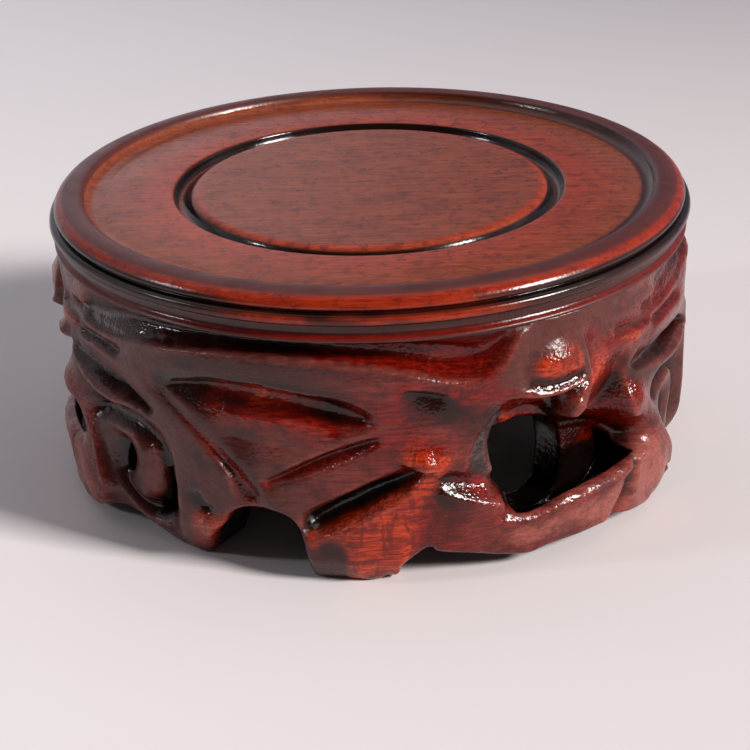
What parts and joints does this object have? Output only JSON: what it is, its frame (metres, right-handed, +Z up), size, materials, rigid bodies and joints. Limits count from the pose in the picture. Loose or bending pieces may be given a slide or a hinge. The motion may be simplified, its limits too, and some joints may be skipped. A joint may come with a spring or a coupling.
{
  "type": "round display stand",
  "caption": "Round low display stand: a turned board with a raised lip on a hollow ring carved all round as knotted roots with feet, arches and openings.",
  "frame": {"origin": "on the floor under the centre of the top board", "axes": "+Z up; -Y towards the side that the picture shows, with the knuckle and the large opening to its right"},
  "size_m": [0.1026, 0.102, 0.046],
  "materials": {
    "carved_wood": "deep red-brown stain under gloss lacquer",
    "board_wood": "red-brown stain under gloss lacquer, fine straight grain",
    "pin_wood": "raw"
  },
  "bodies": {
    "root": {"carved_ring": "carved_wood", "top_board": "board_wood", "joint_pin_1": "pin_wood", "joint_pin_2": "pin_wood", "joint_pin_3": "pin_wood"}
  },
  "joints": []
}
